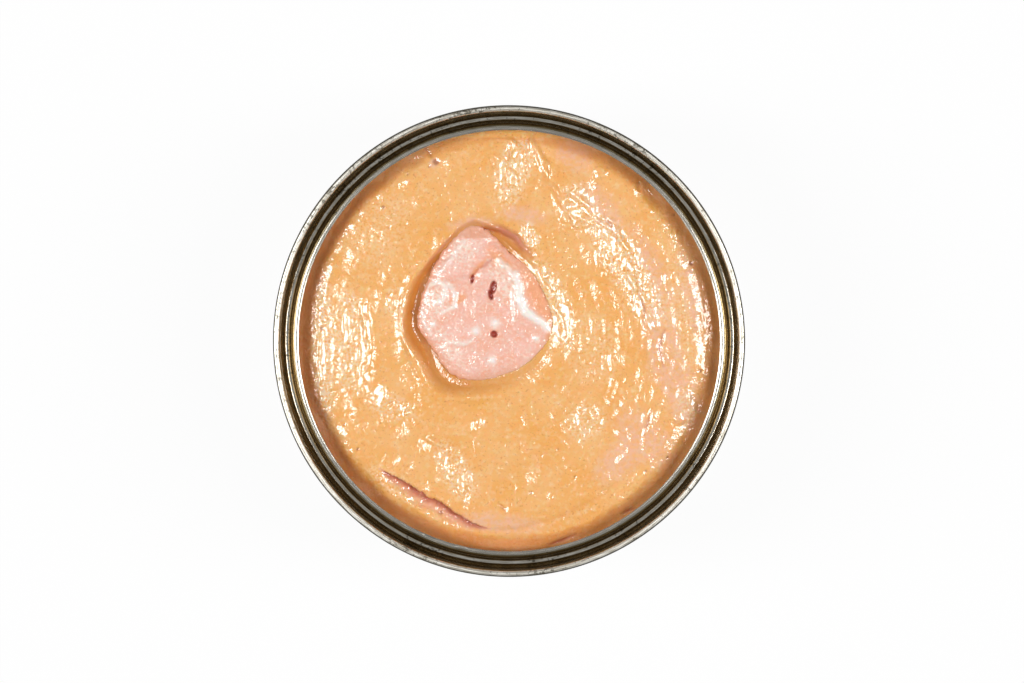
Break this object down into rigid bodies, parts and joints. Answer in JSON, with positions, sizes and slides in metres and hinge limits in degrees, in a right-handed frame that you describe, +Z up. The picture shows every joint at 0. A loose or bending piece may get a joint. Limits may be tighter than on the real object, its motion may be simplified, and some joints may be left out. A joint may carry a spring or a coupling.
{
  "type": "cat food can",
  "caption": "Opened low round steel can filled with pate around a lump of lighter meat, its pull-off lid gone and the lid's rim left in the double seam.",
  "frame": {"origin": "on the can's axis, in the plane that the can stands on", "axes": "+Z up along the can's axis, +Y towards the narrow end of the meat lump, +X to the right of it seen from above"},
  "size_m": [0.086, 0.086, 0.0381],
  "materials": {
    "tinplate_body": "bright drawn tinplate",
    "tinplate_end": "lacquered tinplate, rubbed along the seam",
    "pate": "moist, grainy, glossy",
    "meat": "moist, fine-grained"
  },
  "bodies": {
    "root": {"can_body": "tinplate_body", "end_ring": "tinplate_end", "pate": "pate", "meat_lump": "meat"}
  },
  "joints": []
}
